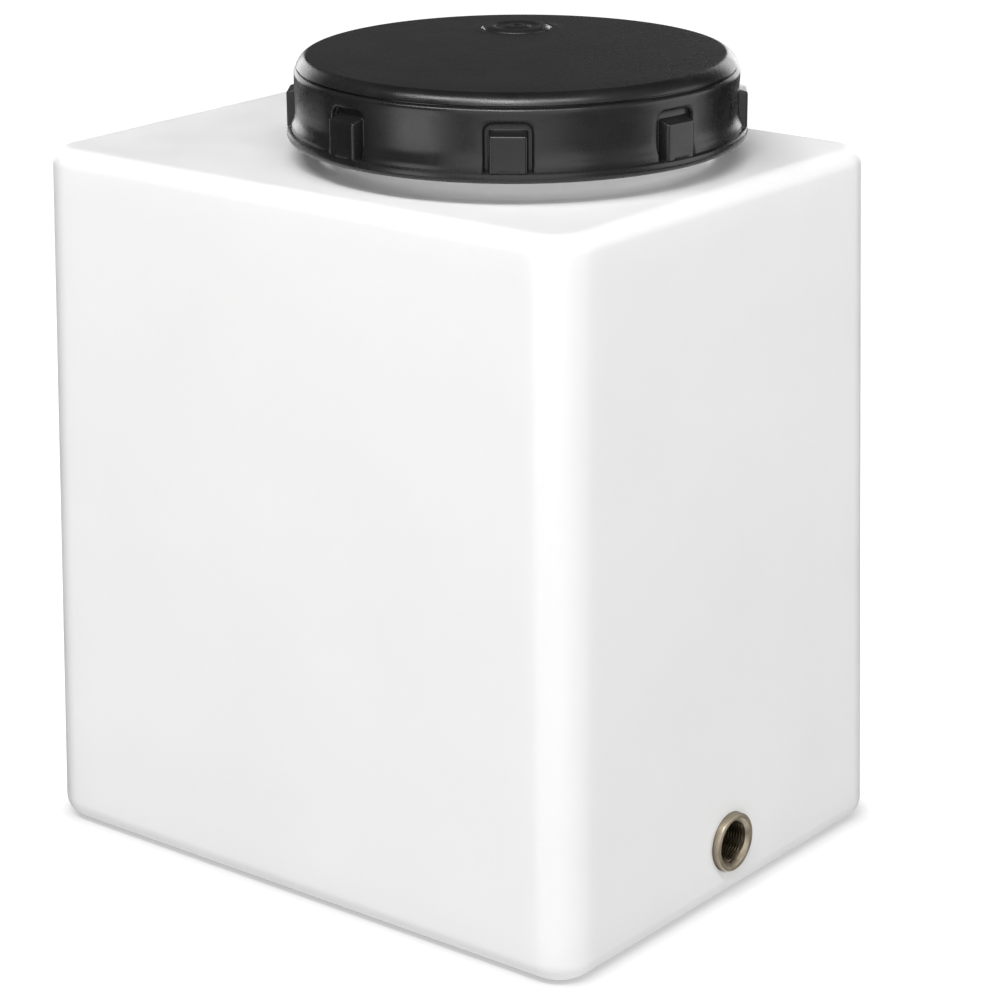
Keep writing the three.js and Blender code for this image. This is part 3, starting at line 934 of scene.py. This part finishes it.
def brass():
    """Machined brass gone dull, with painted shade darkening it down its bore, and turning marks about the
    outlet's axis.
    """
    material, shader = new_material("brass", (0.4, 0.34, 0.25), 0.42, 1.0)
    nodes, links = material.node_tree.nodes, material.node_tree.links
    stain = spread(material, noise(material, 120, 5, 0.65), 0, 1)
    dull = tint(material, stain, (0.33, 0.285, 0.215), (0.46, 0.4, 0.305))
    place = nodes["place"]
    apart = nodes.new("ShaderNodeSeparateXYZ")
    links.new(place.outputs["Object"], apart.inputs[0])
    # painted shade down the bore: the colour goes from the dull brass near the face to a dark brown deeper
    # in, where shade falls
    painted_shade_full = (INSERT_FACE - 7) * MM
    painted_shade_end = (INSERT_FACE - 1.2) * MM
    clear_of_painted_shade = spread(material, apart.outputs["X"], 0, 1, painted_shade_full, painted_shade_end)
    links.new(tint(material, clear_of_painted_shade, (0.13, 0.105, 0.065), dull), shader.inputs["Base Color"])
    links.new(spread(material, noise(material, 300, 3), 0.34, 0.5), shader.inputs["Roughness"])
    shift = nodes.new("ShaderNodeVectorMath")
    shift.inputs[1].default_value = (0, 0, -OUTLET_Z * MM)
    links.new(place.outputs["Object"], shift.inputs[0])
    marks = nodes.new("ShaderNodeTexWave")
    marks.wave_type = "RINGS"
    marks.rings_direction = "X"
    marks.inputs["Scale"].default_value = 900
    marks.inputs["Distortion"].default_value = 1.5
    marks.inputs["Detail"].default_value = 2
    links.new(shift.outputs["Vector"], marks.inputs["Vector"])
    bumps(material, shader, [(marks.outputs["Fac"], 0.15, 0.00006)])
    return material


FLOOR_BRIGHT = 0.85         # strength of the floor's own white
FLOOR_SHADED = 0.24         # and of the shade along the base
SHADE_RUN = (3, 30)         # where that shade starts to fade and where it ends, from the base


def floor_material():
    """White floor that stays white, but for a soft shade close along the tank's base."""
    material, shader = new_material("studio_floor", (0.4, 0.4, 0.4), 0.9)
    nodes, links = material.node_tree.nodes, material.node_tree.links
    shader.inputs["Specular IOR Level"].default_value = 0
    shader.inputs["Emission Color"].default_value = (1, 1, 1, 1)
    corner = EDGE_UPRIGHT - EDGE_BASE    # radius of a corner where the base meets the floor
    half = [(side / 2 - EDGE_UPRIGHT) * MM for side in BASE]
    vector = nodes.new("ShaderNodeTexCoord").outputs["Object"]
    for operation, operand in (("ABSOLUTE", (0, 0, 0)), ("SUBTRACT", (*half, 0)), ("MAXIMUM", (0, 0, 0))):
        step = nodes.new("ShaderNodeVectorMath")
        step.operation = operation
        step.inputs[1].default_value = operand
        links.new(vector, step.inputs[0])
        vector = step.outputs["Vector"]
    distance = nodes.new("ShaderNodeVectorMath")
    distance.operation = "LENGTH"
    links.new(vector, distance.inputs[0])
    start, end = [(corner + run) * MM for run in SHADE_RUN]
    shade = spread(material, distance.outputs["Value"], FLOOR_SHADED, FLOOR_BRIGHT, start, end)
    links.new(shade, shader.inputs["Emission Strength"])
    return material


# ---- scene ----

SHARP_ANGLE = 33            # edges that turn by more degrees than this look sharp


def add_piece(name, mesh, body, node, material, place):
    """Places a mesh drawn in millimetres as the visible form of a CAD node."""
    mesh.name = name
    mesh.transform(Matrix.Scale(MM, 4) @ place)
    mesh.shade_smooth()
    mesh.set_sharp_from_angle(angle=math.radians(SHARP_ANGLE))
    mesh.materials.clear()
    mesh.materials.append(material)
    obj = bpy.data.objects.new(name, mesh)
    bpy.context.scene.collection.objects.link(obj)
    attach(obj, body)
    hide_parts(node)


def add_tank():
    plastic = natural_polyethylene()
    metal = brass()
    at_base = Matrix.Identity(4)
    add_piece("tank_moulding", tank_mesh(), "tank", "tank_body", plastic, at_base)
    add_piece("brass_outlet", outlet_mesh(), "tank", "outlet_insert", metal, at_base)


def add_lid():
    black = black_plastic("black_polyethylene", 0.011)
    rubber = seal_rubber()
    dark = black_plastic("black_polypropylene", 0.016)
    at_lid = Matrix.Translation((MOUTH_X, 0, LID_BOTTOM))
    at_breather = at_lid @ Matrix.Translation((*breather_place(), 0))
    add_piece("screw_lid", lid_mesh(), "lid", "lid", black, at_lid)
    add_piece("lid_seal", gasket_mesh(), "gasket", "lid_gasket", rubber, at_lid)
    fittings = [
        ("breather_stem", breather_body_mesh, "lid", "breather_body", "black_polypropylene", dark),
        ("breather_seal", breather_gasket_mesh, "lid", "breather_gasket", "seal_rubber", rubber),
        ("breather_flap", breather_valve_mesh, "valve", "breather_valve", "seal_rubber", rubber),
        ("breather_cover", breather_cap_mesh, "lid", "breather_cap", "black_polypropylene", dark),
        ("breather_hex_nut", breather_nut_mesh, "lid", "breather_nut", "black_polypropylene", dark),
    ]
    for name, make, body, node, slot, material in fittings:
        add_piece(name, make(), body, node, material, at_breather)


FLOOR_HALF = 30             # in metres
FLOOR_DROP = 0.0003         # keeps the floor clear of the tank's base


def add_floor():
    """A floor that the camera sees, but that sends no light, shadow or reflection to the object."""
    half = FLOOR_HALF
    corners = [(-half, -half, 0), (half, -half, 0), (half, half, 0), (-half, half, 0)]
    mesh = bpy.data.meshes.new("floor")
    mesh.from_pydata(corners, [], [(0, 1, 2, 3)])
    mesh.materials.append(floor_material())
    floor = bpy.data.objects.new("floor", mesh)
    floor.location.z = -FLOOR_DROP
    bpy.context.scene.collection.objects.link(floor)
    floor.visible_diffuse = False
    floor.visible_glossy = False
    floor.visible_shadow = False


def direction(azimuth, elevation):
    """Unit vector towards a place, from degrees; azimuth 0 is on -Y and 90 on +X."""
    a, e = math.radians(azimuth), math.radians(elevation)
    return Vector((math.sin(a) * math.cos(e), -math.cos(a) * math.cos(e), math.sin(e)))


# The camera's angles are in degrees, its places in metres, and its lens and sensor in millimetres.
CAMERA_AZIMUTH = 38.55
CAMERA_ELEVATION = 18.56
CAMERA_DISTANCE = 1.8224
CAMERA_ROLL = -0.38
CAMERA_TARGET = Vector((0.02986, 0, 0.2009))
CAMERA_LENS = 115.6
CAMERA_SENSOR = 36
CAMERA_REACH = 100


def add_camera():
    back = direction(CAMERA_AZIMUTH, CAMERA_ELEVATION)
    a, roll = math.radians(CAMERA_AZIMUTH), math.radians(CAMERA_ROLL)
    level = Vector((math.cos(a), math.sin(a), 0))
    upright = back.cross(level)
    right = level * math.cos(roll) + upright * math.sin(roll)
    up = upright * math.cos(roll) - level * math.sin(roll)
    place = Matrix((right, up, back)).transposed().to_4x4()
    place.translation = CAMERA_TARGET + back * CAMERA_DISTANCE
    data = bpy.data.cameras.new("camera")
    data.lens = CAMERA_LENS
    data.sensor_width = CAMERA_SENSOR
    data.clip_end = CAMERA_REACH
    camera = bpy.data.objects.new("camera", data)
    camera.matrix_world = place
    bpy.context.scene.collection.objects.link(camera)
    bpy.context.scene.camera = camera


# Suns: name, azimuth and elevation they shine from, strength, and how wide they look, in degrees.
SUNS = [
    ("front", 38, 14, 1.52, 70),
    ("side", 128, 5, 1.1, 50),
    ("back_right", 196, 5, 0.6, 30),
    ("back_left", 246, 5, 0.6, 30),
]

# Soft boxes: name, azimuth, elevation, width and height in metres, and power.
SOFT_BOXES = [
    ("strip", 2, 60, 3.1, 0.56, 94),
    ("strip_right", 50, 58, 2.4, 0.5, 44),
]
BOX_DISTANCE = 3.5
BOX_TARGET = Vector((0, 0, 0.25))


def add_sun(name, azimuth, elevation, strength, angle):
    data = bpy.data.lights.new(name, "SUN")
    data.energy = strength
    data.angle = math.radians(angle)
    light = bpy.data.objects.new(name, data)
    light.rotation_euler = direction(azimuth, elevation).to_track_quat("Z", "Y").to_euler()
    bpy.context.scene.collection.objects.link(light)


def add_soft_box(name, azimuth, elevation, width, height, power):
    """An area light that faces the object from a place round it."""
    data = bpy.data.lights.new(name, "AREA")
    data.shape = "RECTANGLE"
    data.size = width
    data.size_y = height
    data.energy = power
    light = bpy.data.objects.new(name, data)
    towards = direction(azimuth, elevation)
    light.location = BOX_TARGET + towards * BOX_DISTANCE
    light.rotation_euler = towards.to_track_quat("Z", "Y").to_euler()
    bpy.context.scene.collection.objects.link(light)


# Patches of light in the room: where (azimuth, elevation), strength, and the cosines of the angles from
# there at which each starts and is full. The lowest ones stand in for what a pale table would reflect.
ROOM_PATCHES = [
    ((0, -90), 1.2, 0.45, 0.9),
    ((90, 28), 0.3, 0.5, 0.95),
    ((-14, -14), 3.3, 0.95, 0.99),
    ((218, 8), 0.1, 0.9, 0.99),
]


def add_world():
    """A dark room with a few soft patches of light, which are added up."""
    world = bpy.data.worlds.new("studio")
    world.use_nodes = True
    nodes, links = world.node_tree.nodes, world.node_tree.links
    place = nodes.new("ShaderNodeTexCoord")
    total = None
    for (azimuth, elevation), strength, start, full in ROOM_PATCHES:
        facing = nodes.new("ShaderNodeVectorMath")
        facing.operation = "DOT_PRODUCT"
        facing.inputs[1].default_value = direction(azimuth, elevation)
        links.new(place.outputs["Generated"], facing.inputs[0])
        ramp = nodes.new("ShaderNodeMapRange")
        ramp.interpolation_type = "SMOOTHSTEP"
        for name, number in (("From Min", start), ("From Max", full), ("To Min", 0), ("To Max", strength)):
            ramp.inputs[name].default_value = number
        links.new(facing.outputs["Value"], ramp.inputs["Value"])
        both = nodes.new("ShaderNodeMath")
        both.inputs[0].default_value = 0
        if total:
            links.new(total, both.inputs[0])
        links.new(ramp.outputs["Result"], both.inputs[1])
        total = both.outputs["Value"]
    links.new(total, nodes["Background"].inputs["Strength"])
    nodes["Background"].inputs["Color"].default_value = (1, 1, 1, 1)
    bpy.context.scene.world = world


def add_lights():
    add_world()
    for box in SOFT_BOXES:
        add_soft_box(*box)
    for sun in SUNS:
        add_sun(*sun)


add_tank()
add_lid()
add_floor()
add_camera()
add_lights()
bpy.context.scene.view_settings.view_transform = "Standard"
